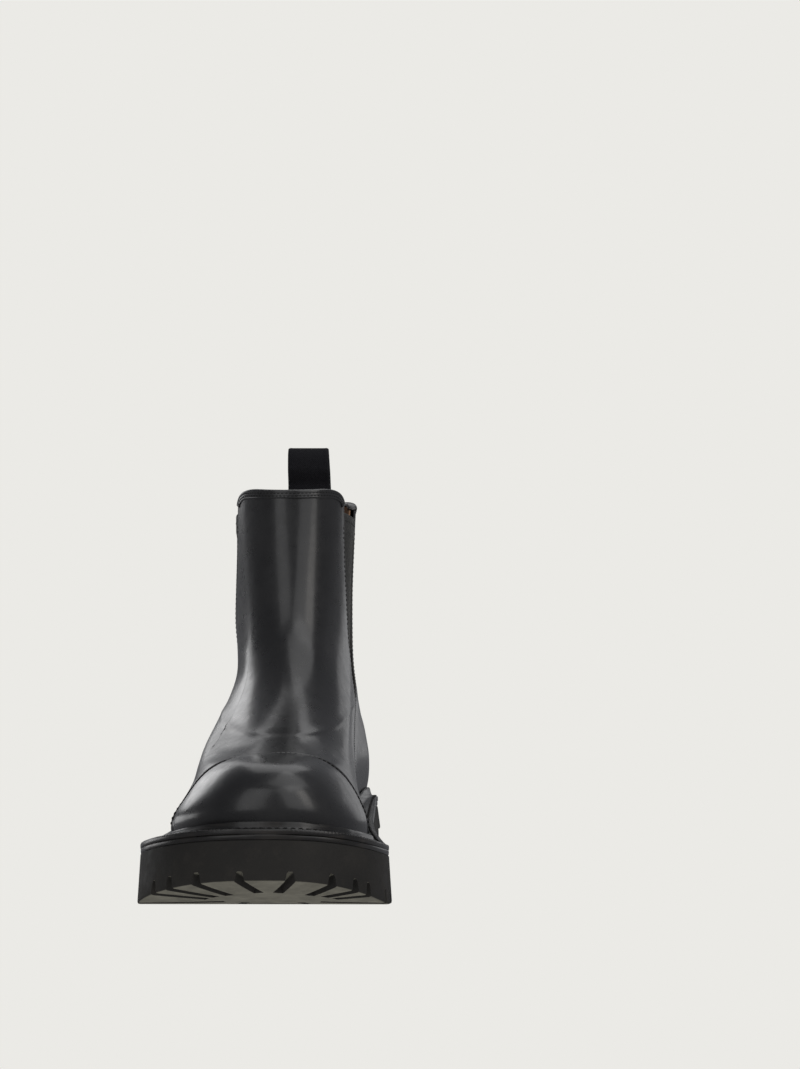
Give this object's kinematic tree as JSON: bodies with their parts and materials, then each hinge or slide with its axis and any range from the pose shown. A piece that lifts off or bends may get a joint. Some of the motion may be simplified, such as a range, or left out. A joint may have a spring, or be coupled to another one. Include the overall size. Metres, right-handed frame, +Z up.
{
  "type": "chelsea boot",
  "caption": "Cap-toe chelsea boot for the right foot: polished black leather upper, elastic side gores, fabric pull tab, storm welt and thick lugged rubber sole.",
  "frame": {"origin": "on the ground, below the centre of the boot's bounding box", "axes": "+Z up; the toe points to -Y and the heel to +Y; +X is the medial side, -X the lateral side of this right-foot boot"},
  "size_m": [0.1177, 0.31, 0.232],
  "materials": {
    "upper_leather": "smooth polished black calf leather with a soft sheen",
    "edge_leather": "stained and waxed black leather edge, glossy",
    "lining_leather": "unpolished tan lining leather",
    "elastic": "matte ribbed elastic webbing, very dark grey",
    "webbing": "black twill tape",
    "rubber": "matte moulded black rubber",
    "board": "pressed leather board",
    "stiffener": "thermoplastic stiffener sheet",
    "cork": "granulated cork",
    "steel": "plain bright steel",
    "thread": "waxed black thread"
  },
  "bodies": {
    "boot": {"backstay": "upper_leather", "binding_front": "edge_leather", "cork_filler": "cork", "gore_lateral": "elastic", "gore_medial": "elastic", "heel_counter": "stiffener", "heel_lift": "rubber", "heel_screw_1": "steel", "heel_screw_2": "steel", "heel_screw_3": "steel", "heel_screw_4": "steel", "heel_top_lift": "rubber", "insole_board": "board", "midsole": "edge_leather", "outsole": "rubber", "quarter_lateral": "upper_leather", "quarter_lining": "lining_leather", "quarter_medial": "upper_leather", "shank": "steel", "sock_liner": "lining_leather", "toe_cap": "upper_leather", "toe_puff": "stiffener", "vamp": "upper_leather", "vamp_lining": "lining_leather", "welt": "edge_leather", "welt_thread": "thread"},
    "rear_shaft": {"binding_rear": "edge_leather", "pull_tab_end": "webbing", "shaft_backstay": "upper_leather", "shaft_lateral": "upper_leather", "shaft_lining": "lining_leather", "shaft_medial": "upper_leather"},
    "pull_tab": {"pull_tab": "webbing"}
  },
  "joints": [
    {"name": "shaft_opening", "type": "hinge", "parent": "boot", "child": "rear_shaft", "pos_m": [0, 0.108, 0.106], "axis": [-1, 0, 0], "range_deg": [0, 9], "stiffness_Nm_per_rad": 6, "deforming": ["gore_medial", "gore_lateral", "quarter_medial", "quarter_lateral", "quarter_lining", "backstay"]},
    {"name": "pull_tab_fold", "type": "hinge", "parent": "rear_shaft", "child": "pull_tab", "pos_m": [0, 0.1272, 0.2065], "axis": [-1, 0, 0], "range_deg": [-80, 70], "stiffness_Nm_per_rad": 0.02}
  ]
}
